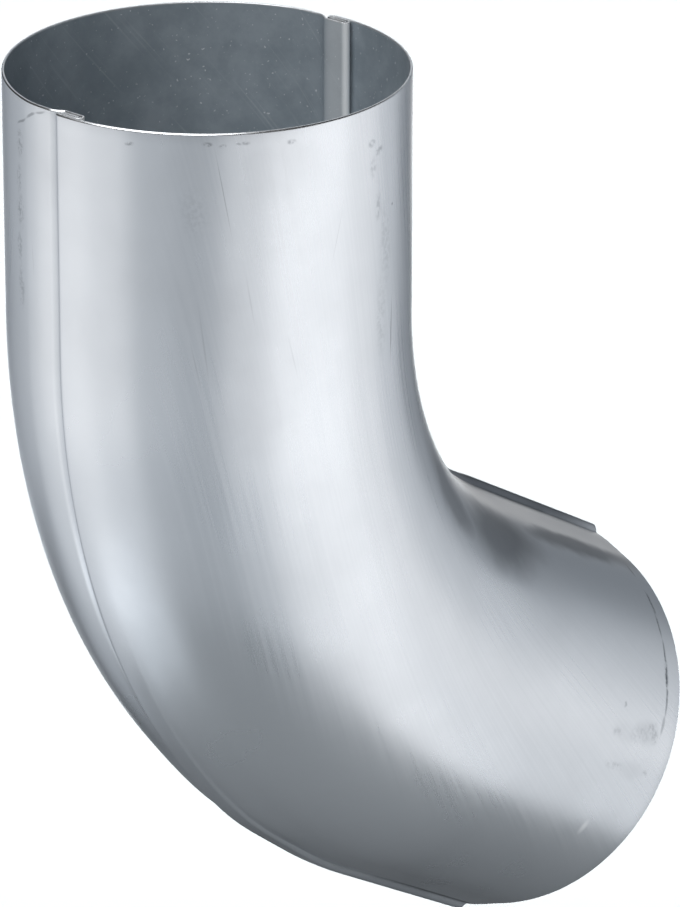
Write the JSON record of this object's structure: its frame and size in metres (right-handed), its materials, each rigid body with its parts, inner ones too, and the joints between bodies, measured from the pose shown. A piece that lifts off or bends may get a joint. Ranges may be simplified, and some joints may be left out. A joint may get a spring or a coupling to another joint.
{
  "type": "downspout elbow",
  "caption": "Round sheet-metal downspout elbow of pressed half shells with lock seams: a plain end and a widened end at an obtuse bend.",
  "frame": {"origin": "centre of the plain end's rim", "axes": "+Z along the plain end's axis, out of its mouth; the bend lies in the XZ plane and the widened end points to +X and down"},
  "size_m": [0.1975, 0.1034, 0.2605],
  "materials": {
    "near_sheet": "satin, bare rolled zinc",
    "far_sheet": "satin, bare rolled zinc"
  },
  "bodies": {
    "root": {"near_half_shell": "near_sheet", "far_half_shell": "far_sheet"}
  },
  "joints": []
}
